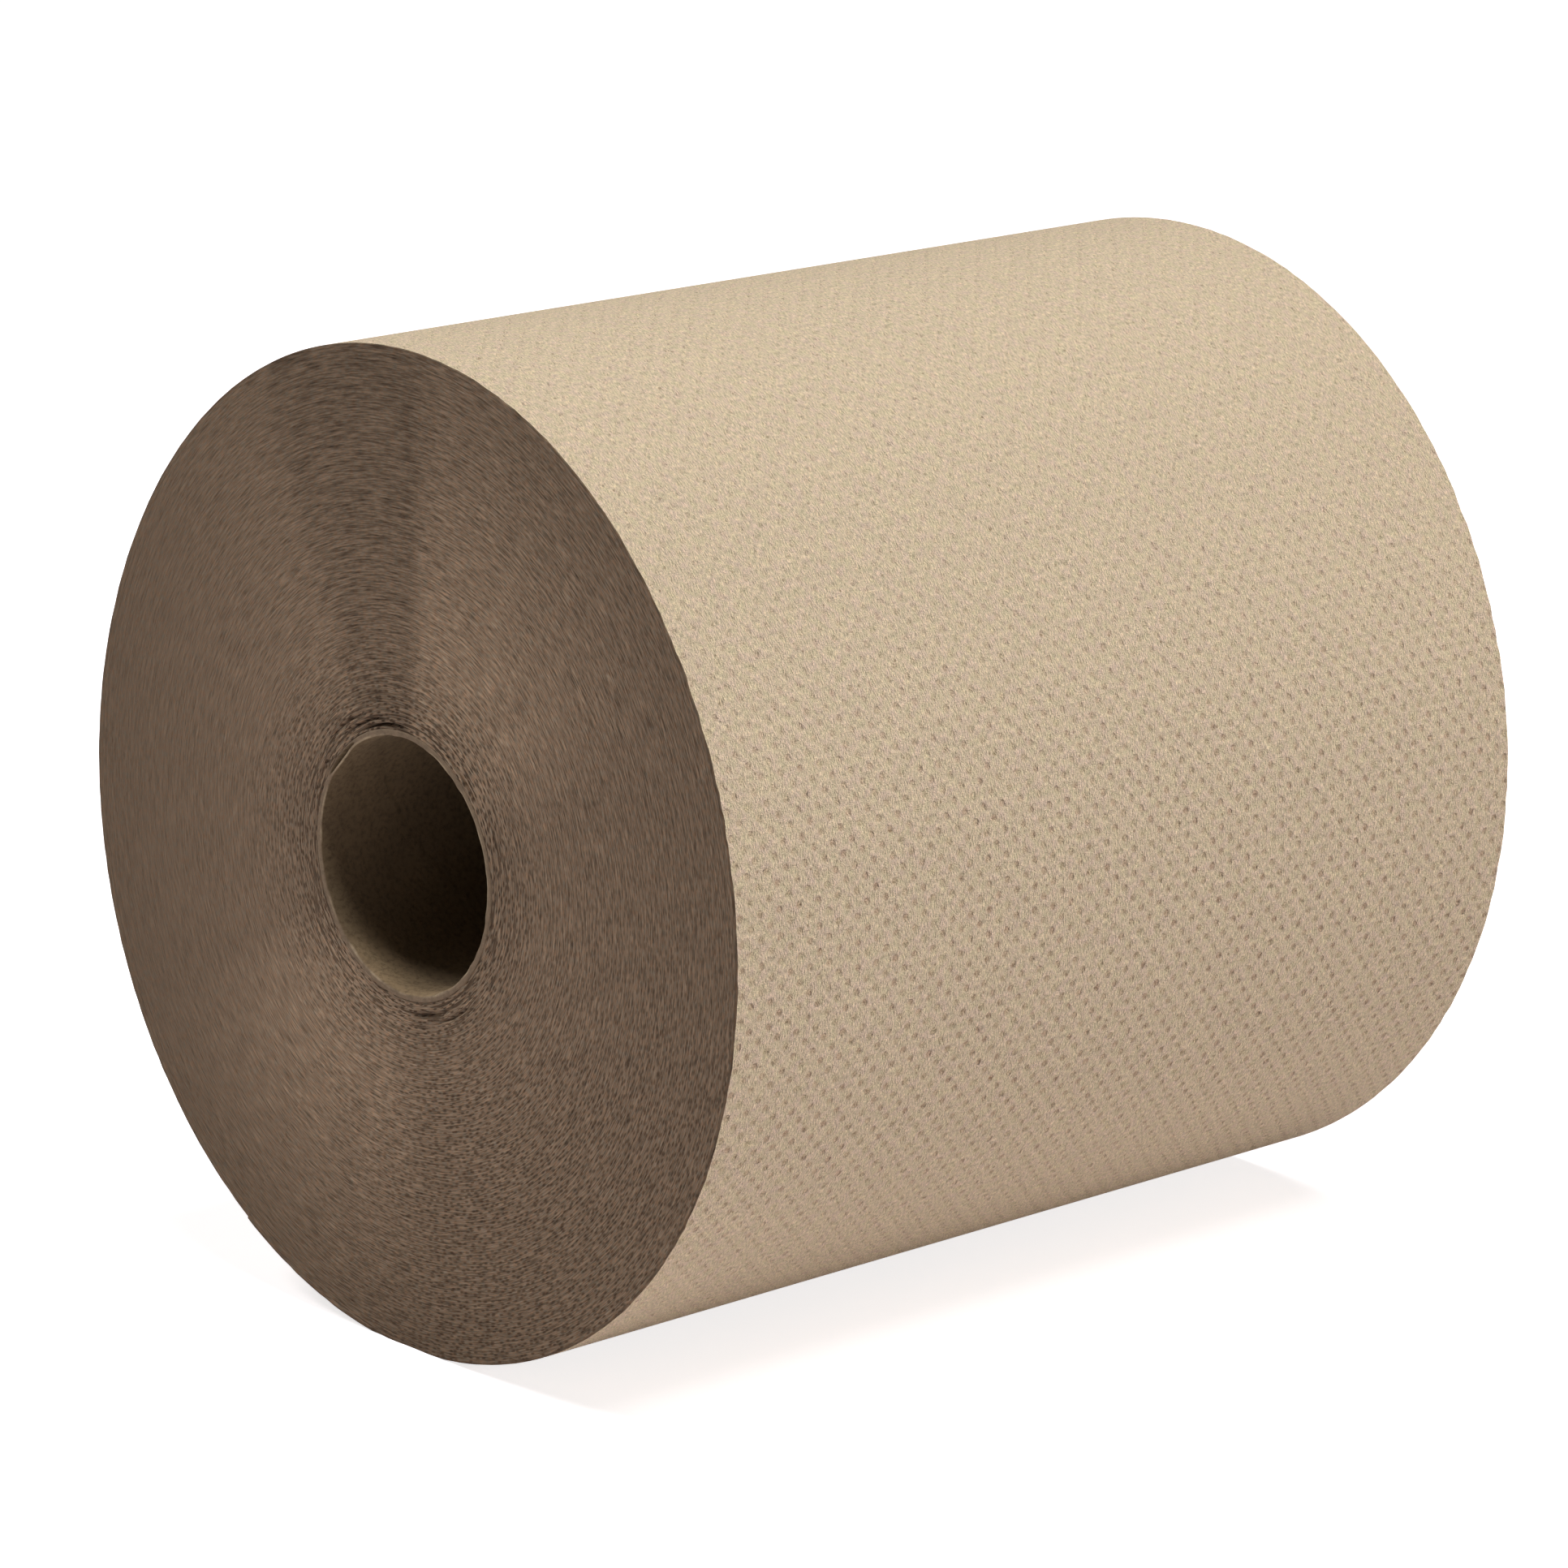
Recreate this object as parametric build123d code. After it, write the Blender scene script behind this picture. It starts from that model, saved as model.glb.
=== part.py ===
from build123d import *
from math import cos, radians, sin, sqrt
import os

# A hardwound paper towel roll lying on its side: an embossed kraft web wound on a paperboard core.
# Frame: +Y runs along the axis, +Z is up, and the origin is the centre of the core's bore.

# Driving dimensions of the roll, in millimetres and degrees; angles turn from +X up towards +Z
WEB_WIDTH = 203.0
ROLL_DIAMETER = 193.0
CENTRE_X = -0.8
CENTRE_Z = 1.1
OVAL = 0.0097
OVAL_ANGLE = 79.0
LOBE = 0.0052
LOBE_ANGLE = 83.0
FLAT_WIDTH = 20.0
TAIL_ANGLE = 239.0
TAIL_STEP = 0.4
OUTLINE_ARCS = 16

# Driving dimensions of the paperboard core
CORE_BORE = 50.0
CORE_WALL = 1.2

# Wound turns on both end faces: a spiral gap between bundles of some seventy turns each
GAP_PITCH = 7.3
GAP_HALF_TURNS = 17
GAP_START = 33.6
GAP_WIDTH = 0.5
GAP_DEPTH = 0.8

# Loosened turns around the core: middle angle, spread, radius and greatest opening of each gap
LOOSE_DEPTH = 3.0
LOOSE_TURNS = [
    (104.0, 46.0, 27.0, 0.60),
    (114.0, 34.0, 28.3, 0.50),
    (124.0, 28.0, 29.8, 0.40),
    (150.0, 30.0, 28.0, 0.35),
    (50.0, 34.0, 27.2, 0.35),
    (286.0, 30.0, 28.6, 0.40),
    (300.0, 24.0, 30.2, 0.35),
]

core_outer = CORE_BORE / 2 + CORE_WALL
end_y = WEB_WIDTH / 2


def roll_radius(angle):
    """Radius of the slightly oval, slightly egg-shaped outside, about its own centre."""
    oval = OVAL * cos(2 * radians(angle - OVAL_ANGLE))
    lobe = LOBE * cos(3 * radians(angle - LOBE_ANGLE))
    return ROLL_DIAMETER / 2 * (1 + oval + lobe)


def tail_lift(angle):
    """Height of the last turn above the plain outside: a full step at the tail, none a turn later."""
    return TAIL_STEP * (1 - (angle - TAIL_ANGLE) / 360)


def outside_point(angle):
    """Point on the outside of the last turn."""
    radius = roll_radius(angle) + tail_lift(angle)
    return (CENTRE_X + radius * cos(radians(angle)), CENTRE_Z + radius * sin(radians(angle)))


def core_point(angle, radius):
    """Point at a radius about the core's axis."""
    return (radius * cos(radians(angle)), radius * sin(radians(angle)))


def end_plane(side):
    """Sketch plane on the end face at -Y (side -1) or +Y (side 1), X to the right and Z up."""
    return Plane(origin=(0, side * end_y, 0), x_dir=(1, 0, 0), z_dir=(0, -1, 0))


def along_axis(face):
    """Solid as long as the web is wide."""
    return extrude(end_plane(-1) * face, amount=WEB_WIDTH, dir=(0, 1, 0))


def outline_face():
    """Outside of the web: arcs from the free tail once round the roll, then the tail's own step."""
    sweep = 360 / OUTLINE_ARCS
    edges = []
    for i in range(OUTLINE_ARCS):
        start = TAIL_ANGLE + i * sweep
        angles = (start, start + sweep / 2, start + sweep)
        edges.append(ThreePointArc(*[outside_point(a) for a in angles]))
    edges.append(Line(edges[-1] @ 1, edges[0] @ 0))
    return make_face(edges)


def loose_turn(middle, spread, radius, opening, side):
    """Crescent gap between two turns that have come loose, sunk into one end."""
    first = core_point(middle - spread / 2, radius)
    last = core_point(middle + spread / 2, radius)
    inside = ThreePointArc(first, core_point(middle, radius), last)
    outside = ThreePointArc(first, core_point(middle, radius + opening), last)
    gap = make_face(inside + outside)
    return extrude(end_plane(side) * gap, amount=LOOSE_DEPTH, dir=(0, -side, 0))


def gap_profile(centre, radius, side):
    """V-shaped section of the gap between two bundles of turns, on +X from a centre on the X axis."""
    above = GAP_DEPTH / 2
    mouth = GAP_WIDTH / 2 * (GAP_DEPTH + above) / GAP_DEPTH
    section = Polyline(
        (centre + radius - mouth, side * (end_y + above)),
        (centre + radius, side * (end_y - GAP_DEPTH)),
        (centre + radius + mouth, side * (end_y + above)),
        close=True,
    )
    return make_face(section)


def wound_gap(side):
    """Spiral gap drawn as with a compass: half turns about two centres half a pitch apart."""
    half_pitch = GAP_PITCH / 2
    halves = []
    for i in range(GAP_HALF_TURNS):
        lower = i % 2
        centre = half_pitch * lower
        profile = gap_profile(centre, GAP_START + i * half_pitch, side)
        axis = Axis((centre, 0, 0), (0, 2 * lower - 1, 0))
        halves.append(revolve(profile, axis, 180))
    return halves


def build_core():
    return along_axis(Circle(core_outer) - Circle(CORE_BORE / 2))


def build_roll():
    roll = along_axis(outline_face() - Circle(core_outer))

    # The roll's own weight flattens the spot it lies on
    lowest = roll_radius(270.0) + tail_lift(270.0)
    floor_z = CENTRE_Z - sqrt(lowest**2 - (FLAT_WIDTH / 2) ** 2)
    below = Pos(CENTRE_X, 0, floor_z - 10) * Box(ROLL_DIAMETER, 2 * WEB_WIDTH, 20)
    roll = roll - below

    for side in (-1, 1):
        roll = roll - [loose_turn(*turn, side) for turn in LOOSE_TURNS]
        roll = roll - wound_gap(side)
    return roll


os.makedirs("parts", exist_ok=True)
export_step(build_core(), "parts/core_tube.step")
export_step(build_roll(), "parts/towel_roll.step")
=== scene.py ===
"""A brown paper towel roll lying on its side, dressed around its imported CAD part.

The outside is a flat grid of the web, embossed, given its two wound ends and bent round the core.
Lengths are in metres and angles in degrees; angles turn from +X up towards +Z, about the axis along Y.
"""

import math
import random
from functools import partial

import bmesh
import bpy
from mathutils import Euler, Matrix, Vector, noise


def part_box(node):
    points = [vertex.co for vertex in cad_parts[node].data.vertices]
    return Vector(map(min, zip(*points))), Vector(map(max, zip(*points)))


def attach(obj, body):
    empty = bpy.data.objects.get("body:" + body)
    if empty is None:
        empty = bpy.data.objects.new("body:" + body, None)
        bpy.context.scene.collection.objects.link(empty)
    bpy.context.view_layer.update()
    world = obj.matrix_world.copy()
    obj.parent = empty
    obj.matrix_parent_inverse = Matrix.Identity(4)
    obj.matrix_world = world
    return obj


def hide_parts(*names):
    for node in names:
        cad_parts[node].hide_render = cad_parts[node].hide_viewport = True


bl_info = {
    "name": "Paper towel roll",
    "version": (1, 0, 0),
    "blender": (4, 5, 0),
    "location": "3D View > Sidebar > Towel Roll",
    "description": "Builds the embossed kraft web, its board core and a plain studio stage",
    "category": "Add Mesh",
}

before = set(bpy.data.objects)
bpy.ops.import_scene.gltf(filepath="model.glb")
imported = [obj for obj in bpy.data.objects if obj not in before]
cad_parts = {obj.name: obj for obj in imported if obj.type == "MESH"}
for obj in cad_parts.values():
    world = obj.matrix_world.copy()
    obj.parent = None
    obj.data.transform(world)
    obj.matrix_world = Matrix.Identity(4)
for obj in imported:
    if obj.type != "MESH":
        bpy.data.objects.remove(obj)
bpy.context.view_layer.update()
WEB_LOW, WEB_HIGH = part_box("towel_roll")

MM = 0.001
NEAR = 0.01 * MM  # spots closer than this are taken to be one
SIDES = (-1, 1)

# Section of the roll, as the CAD part draws it
CENTRE_X = -0.8 * MM
CENTRE_Z = 1.1 * MM
OVAL, OVAL_ANGLE = 0.0097, 79.0
LOBE, LOBE_ANGLE = 0.0052, 83.0
TAIL_ANGLE = 239.0
TAIL_REACH = 0.6 * MM  # the tail's step has died out this far under the outside

# Loosened turns around the core: middle angle, spread, radius and greatest opening of each gap
LOOSE_TURNS = [
    (104.0, 46.0, 27.0 * MM, 0.60),
    (114.0, 34.0, 28.2 * MM, 0.50),
    (124.0, 28.0, 29.8 * MM, 0.40),
    (150.0, 30.0, 27.8 * MM, 0.35),
    (50.0, 34.0, 27.4 * MM, 0.35),
    (286.0, 30.0, 28.6 * MM, 0.40),
    (300.0, 24.0, 30.2 * MM, 0.35),
]
LOOSE_PITCH = 0.4 * MM
LOOSE_REACH = 31.0 * MM
LOOSE_DEPTH = 3.4 * MM
RING_PITCH = 2.6 * MM
RELIEF = 0.1 * MM  # unevenness of the turns' edges on an end, with its length along and across them
RELIEF_LENGTH, RELIEF_WIDTH = 11 * MM, 3 * MM
RIM = 0.18 * MM  # width of the worn rim between the outside and an end
WAVE = 0.36 * MM  # greatest depth of the waves in the outer turn's cut edge
WAVE_LENGTH, WAVE_STEEPNESS = 2 * MM, 1.2
WAVE_MEAN, WAVE_SWING = 0.62, 0.38  # the waves are deepest on +X and faint on -X

# Unevenness of the dimples
SEED = 7
SHOULDER = 0.18  # share of a dimple's depth that its rounded shoulder takes
DIMPLE_TURN, DIMPLE_TWIST = 45, 12
DIMPLE_STRAY = 0.07  # in millimetres
DIMPLE_SIZES = (0.80, 1.0)
DIMPLE_DEPTHS = (0.6, 1.15)
FLATTENED = 0.6  # share of their depth that dimples lose near the spot the roll lies on
FLATTENED_FROM, FLATTENED_OVER = 0.45, 0.4  # how far down the roll that starts and how soon it is full

# Inner ply of the core: its edge at the near end, and where it has lifted off the others there
PLY = 0.1 * MM
PLY_ANGLE, PLY_OVERLAP = 102.0, 26.0
PLY_SHARES = (0, 0.3, 0.6, 1)  # places of the three plies' faces in the wall
PLY_LIMITS = (0.35, 0.7)  # below these places a spot belongs to the inner or to the middle ply
LIFT = 0.5 * MM
LIFT_ANGLE, LIFT_SPREAD = 136.0, 26.0
LIFT_LENGTH = 9 * MM
LIFT_GAP = 6 * MM
FRAY = 0.45 * MM  # how far the inner ply's cut edge strays into the bore
FRAY_LENGTH = 3 * MM
CORE_STEPS, CORE_CUTS = 180, 40  # faces round the core and cuts along it
CORE_RIM = 0.22 * MM

# The web's UV map, which holds millimetres along and across the web, and the place of its second finish
WEB_MAP = "web_mm"
CUT_EDGE = 1

# Patterns on the sheet, in millimetres on the web's map, and their colours
CLOUD = 5.0
CAST = 2.0
FIBRE = (1.0, 0.25)  # a fibre is about 0.03 mm thick; drawn eight times as thick, or it would not show
GRAIN = 0.26
FLECK_SPACING = 12.0
PINK_CAST, GREEN_CAST, CAST_SHARE = "#DEC0B3", "#CEC49B", 0.38
FLECK_COLOUR, DIMPLE_SHADE_COLOUR = "#8C7355", "#AB855C"

# Patterns on the wound ends, in millimetres: length along the turns and width across them. A turn is about
# 0.11 mm thick; its streaks are drawn two and a half times as thick, or they would not show.
STREAK = (4.5, 0.28)
TINT = (1.4, 0.26)
SLIT = (9.0, 0.55)
BUNDLE = (11.0, 0.7)
DASH = (2.2, 0.8)
PATCH = 14.0
LAST_GAP = 0.4  # the last turn's shadow on an end, drawn this wide, or it would not show
SLACK_TURN = 0.70  # radians round the roll from the middle of the flat web to the slack wedge

# Patterns on the core's board
BOARD_FIBRE = 1.0 * MM
STAIN = 14 * MM
TEAR = 7 * MM
LIGHT_POOL_REACH = 12 * MM

# Lamps: name of the power setting, size and place
LAMPS = (
    ("key", 1.6, (1.25, 0.25, 2.85)),
    ("top", 0.3, (-0.02, -0.30, 1.60)),
    ("front", 0.4, (-1.05, -0.62, 1.25)),
    ("fill", 1.0, (3.00, 3.90, 0.70)),
)
FLOOR_SIZE = 6.0

# Camera at the photograph's viewing angle
CAMERA_LENS, CAMERA_SENSOR = 152.94, 36.0
CAMERA_PLACE = (0.948119, -0.851633, 0.334131)
CAMERA_DOWN, CAMERA_TURN = 14.7687, 48.2512
CAMERA_NEAR, CAMERA_FAR = 0.05, 50.0


def linear(code):
    """Linear colour of an sRGB hex value."""
    shares = [int(code[i : i + 2], 16) / 255 for i in (1, 3, 5)]
    return [s / 12.92 if s <= 0.04045 else ((s + 0.055) / 1.055) ** 2.4 for s in shares]


class TowelWebSettings(bpy.types.PropertyGroup):
    """Sizes and colours of the wound web."""

    diameter: bpy.props.FloatProperty(
        name="Diameter", description="Outside diameter of the roll", default=193 * MM, unit="LENGTH"
    )
    width: bpy.props.FloatProperty(
        name="Width", description="Width of the web", default=WEB_HIGH.y - WEB_LOW.y, unit="LENGTH"
    )
    tail_step: bpy.props.FloatProperty(
        name="Tail step", description="Height of the free tail's edge", default=0.4 * MM, unit="LENGTH"
    )
    columns: bpy.props.IntProperty(
        name="Columns", description="Half repeats of the embossing round the roll", default=250
    )
    rows: bpy.props.IntProperty(
        name="Rows", description="Half repeats of the embossing across the web", default=87
    )
    dimple: bpy.props.FloatProperty(
        name="Dimple", description="Width of one embossed dimple", default=1.2 * MM, unit="LENGTH"
    )
    dimple_depth: bpy.props.FloatProperty(
        name="Dimple depth", description="Depth of one embossed dimple", default=0.45 * MM, unit="LENGTH"
    )
    sheet: bpy.props.FloatVectorProperty(
        name="Sheet", description="Colour of the sheet", subtype="COLOR", default=linear("#DBC7A8")
    )
    mottle: bpy.props.FloatVectorProperty(
        name="Mottle",
        description="Colour of the sheet's denser clouds",
        subtype="COLOR",
        default=linear("#D6C2A6"),
    )
    cut_edge: bpy.props.FloatVectorProperty(
        name="Cut edge",
        description="Warmer colour of the wound ends",
        subtype="COLOR",
        default=linear("#A6876B"),
    )
    cut_tint: bpy.props.FloatVectorProperty(
        name="Cut tint",
        description="Cooler colour of the wound ends",
        subtype="COLOR",
        default=linear("#9A8C78"),
    )
    # Painted shade: the dark colour drawn into the gaps, dashes and slits between turns
    gap: bpy.props.FloatVectorProperty(
        name="Gap",
        description="Colour of the gaps between turns",
        subtype="COLOR",
        default=linear("#4A3A2C"),
    )


class TowelCoreSettings(bpy.types.PropertyGroup):
    """Sizes and colours of the paperboard core."""

    bore: bpy.props.FloatProperty(
        name="Bore", description="Inside diameter of the core", default=50 * MM, unit="LENGTH"
    )
    wall: bpy.props.FloatProperty(
        name="Wall", description="Thickness of the core's board", default=1.2 * MM, unit="LENGTH"
    )
    lead: bpy.props.FloatProperty(
        name="Lead", description="Length of one turn of the spiral ply", default=95 * MM, unit="LENGTH"
    )
    board: bpy.props.FloatVectorProperty(
        name="Board", description="Colour of the board", subtype="COLOR", default=linear("#7B684E")
    )
    speck: bpy.props.FloatVectorProperty(
        name="Speck",
        description="Colour of the board's dark fibres",
        subtype="COLOR",
        default=linear("#4F402E"),
    )
    cut: bpy.props.FloatVectorProperty(
        name="Cut", description="Colour of the board's cut ends", subtype="COLOR", default=linear("#85725C")
    )
    burr_and_glint: bpy.props.FloatVectorProperty(
        name="Burr",
        description="Colour of the burr on the bore's edge",
        subtype="COLOR",
        default=linear("#B29F82"),
    )


class TowelStageSettings(bpy.types.PropertyGroup):
    """Light of the stage."""

    key: bpy.props.FloatProperty(
        name="Key", description="Power of the key lamp", default=68.0, unit="POWER"
    )
    top: bpy.props.FloatProperty(
        name="Top", description="Power of the top lamp", default=5.4, unit="POWER"
    )
    front: bpy.props.FloatProperty(
        name="Front", description="Power of the front lamp", default=10.2, unit="POWER"
    )
    fill: bpy.props.FloatProperty(
        name="Fill", description="Power of the fill lamp", default=120.0, unit="POWER"
    )
    room: bpy.props.FloatProperty(
        name="Room", description="Strength of the even room light", default=0.01
    )
    glow: bpy.props.FloatProperty(
        name="Glow", description="White that the floor adds to the eye", default=0.74
    )
    floor: bpy.props.FloatVectorProperty(
        name="Floor", description="Colour of the floor", subtype="COLOR", default=linear("#EAE2E4")
    )


def add_node(tree, kind, inputs=None, **settings):
    """Add one node: settings are its properties, inputs the values of its inputs.

    A value can also be a socket, or a node whose first output is meant.
    """
    made = tree.nodes.new(kind)
    for name, value in settings.items():
        setattr(made, name, value)
    for name, value in (inputs or {}).items():
        if isinstance(value, bpy.types.Node):
            value = value.outputs[0]
        if isinstance(value, bpy.types.NodeSocket):
            tree.links.new(value, made.inputs[name])
        else:
            made.inputs[name].default_value = value
    return made


def empty_material(name):
    """A material with only its output node."""
    material = bpy.data.materials.new(name)
    material.use_nodes = True
    tree = material.node_tree
    tree.nodes.clear()
    return material, tree, tree.nodes.new("ShaderNodeOutputMaterial")


def stretch(size):
    """Scale of a mapping that gives a pattern one length along the web and another across it."""
    return (1 / size[0], 1 / size[1], 1.0)


def web_cell(web):
    """Size of one half repeat of the embossing, round the roll and across the web."""
    return Vector((math.pi * web.diameter / web.columns, (web.width - 2 * RIM) / web.rows))


def kraft_towel(look):
    """Unbleached kraft tissue, creped and embossed.

    Matt beige, grainy with short fibres that lie along the web, with faint clouds and pink and green casts;
    the pressed dimples are a little darker and warmer: denser pressed paper, and painted shade in their
    bottoms.
    """
    material, tree, output = empty_material("kraft_towel")
    add = partial(add_node, tree)
    place = add("ShaderNodeUVMap", uv_map=WEB_MAP)
    along = add("ShaderNodeMapping", {"Vector": place, "Scale": stretch(FIBRE)})
    clouds, casts, fibres, grain = [
        add(
            "ShaderNodeTexNoise",
            {"Vector": where, "Scale": scale, "Detail": detail, "Roughness": roughness},
            noise_dimensions="2D",
        )
        for where, scale, detail, roughness in (
            (place, 1 / CLOUD, 3.0, 0.5),
            (place, 1 / CAST, 3.0, 0.5),
            (along, 1.0, 3.0, 0.6),
            (place, 1 / GRAIN, 2.0, 0.5),
        )
    ]
    flecks = add(
        "ShaderNodeTexVoronoi", {"Vector": place, "Scale": 1 / FLECK_SPACING}, voronoi_dimensions="2D"
    )

    cloudy = add("ShaderNodeMapRange", {"Value": clouds, "From Min": 0.3, "From Max": 0.7})
    cast = add(
        "ShaderNodeMix", {0: cloudy, 6: (*look.sheet, 1.0), 7: (*look.mottle, 1.0)}, data_type="RGBA"
    )
    for tint, full in ((PINK_CAST, 0.72), (GREEN_CAST, 0.28)):
        tinted = add(
            "ShaderNodeMapRange", {"Value": casts, "From Min": 0.5, "From Max": full, "To Max": CAST_SHARE}
        )
        cast = add(
            "ShaderNodeMix", {0: tinted, 6: cast.outputs[2], 7: (*linear(tint), 1.0)}, data_type="RGBA"
        )
    fibre_share = add(
        "ShaderNodeMapRange",
        {"Value": fibres, "From Min": 0.25, "From Max": 0.75, "To Min": 0.62, "To Max": 1.38},
    )
    grain_share = add(
        "ShaderNodeMapRange",
        {"Value": grain, "From Min": 0.25, "From Max": 0.75, "To Min": 0.84, "To Max": 1.16},
    )
    share = add("ShaderNodeMath", {0: fibre_share, 1: grain_share}, operation="MULTIPLY")
    fibrous = add("ShaderNodeVectorMath", {0: cast.outputs[2], "Scale": share}, operation="SCALE")
    dark = add(
        "ShaderNodeMapRange", {"Value": flecks, "From Min": 0.030, "From Max": 0.015, "To Max": 0.6}
    )
    flecked = add(
        "ShaderNodeMix", {0: dark, 6: fibrous, 7: (*linear(FLECK_COLOUR), 1.0)}, data_type="RGBA"
    )

    # The emboss's own grid sharpens the walls of its dimples and paints darker, warmer shade into their
    # bottoms, on top of the denser pressed paper
    spot = add("ShaderNodeSeparateXYZ", {0: place})
    cell = web_cell(look)
    waves = []
    for axis, pitch, wave in (("X", cell.x, "SINE"), ("Y", cell.y, "COSINE")):
        phase = add("ShaderNodeMath", {0: spot.outputs[axis], 1: math.pi * MM / pitch}, operation="MULTIPLY")
        waves.append(add("ShaderNodeMath", {0: phase}, operation=wave))
    swell = add("ShaderNodeMath", dict(enumerate(waves)), operation="MULTIPLY")
    wall = add(
        "ShaderNodeMapRange",
        {"Value": swell, "From Min": -0.85, "From Max": -0.4},
        interpolation_type="SMOOTHSTEP",
    )

    # Dimples are uneven from place to place, and fainter over the top of the roll and near the floor
    firmness = add(
        "ShaderNodeMapRange",
        {"Value": casts, "From Min": 0.3, "From Max": 0.7, "To Min": 0.3, "To Max": 1.6},
    )
    height = add("ShaderNodeSeparateXYZ", {0: add("ShaderNodeTexCoord").outputs["Object"]}).outputs["Z"]
    faint = add(
        "ShaderNodeMapRange",
        {"Value": height, "From Min": 10 * MM, "From Max": 66 * MM, "To Min": 1.7, "To Max": 0.4},
    )
    flat = add(
        "ShaderNodeMapRange",
        {"Value": height, "From Min": -42 * MM, "From Max": -78 * MM, "To Min": 1.0, "To Max": 0.4},
    )
    fading = add("ShaderNodeMath", {0: faint, 1: flat}, operation="MULTIPLY")
    pressed = add("ShaderNodeMath", {0: firmness, 1: fading}, operation="MULTIPLY")
    # Painted shade: the dimples' bottoms are drawn darker and warmer, most where the dimples are pressed
    # deepest
    dimple_shade = add("ShaderNodeMapRange", {"Value": wall, "To Min": 0.14, "To Max": 0.0})
    dimple_shade_share = add("ShaderNodeMath", {0: dimple_shade, 1: pressed}, operation="MULTIPLY")
    colour = add(
        "ShaderNodeMix", {0: dimple_shade_share, 6: flecked.outputs[2], 7: (*linear(DIMPLE_SHADE_COLOUR), 1.0)}, data_type="RGBA"
    )

    firm = add("ShaderNodeMath", {0: wall, 1: pressed}, operation="MULTIPLY")
    quilt = add("ShaderNodeBump", {"Height": firm, "Strength": 1.0, "Distance": 0.15 * MM})
    fuzz = add("ShaderNodeMath", {0: fibres, 1: grain}, operation="ADD")
    bump = add("ShaderNodeBump", {"Height": fuzz, "Strength": 1.0, "Distance": 0.32 * MM, "Normal": quilt})
    shader = add(
        "ShaderNodeBsdfPrincipled",
        {
            "Base Color": colour.outputs[2],
            "Roughness": 0.92,
            "IOR": 1.5,
            "Specular IOR Level": 0.2,
            "Normal": bump,
        },
    )
    tree.links.new(shader.outputs[0], output.inputs["Surface"])
    return material


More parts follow.
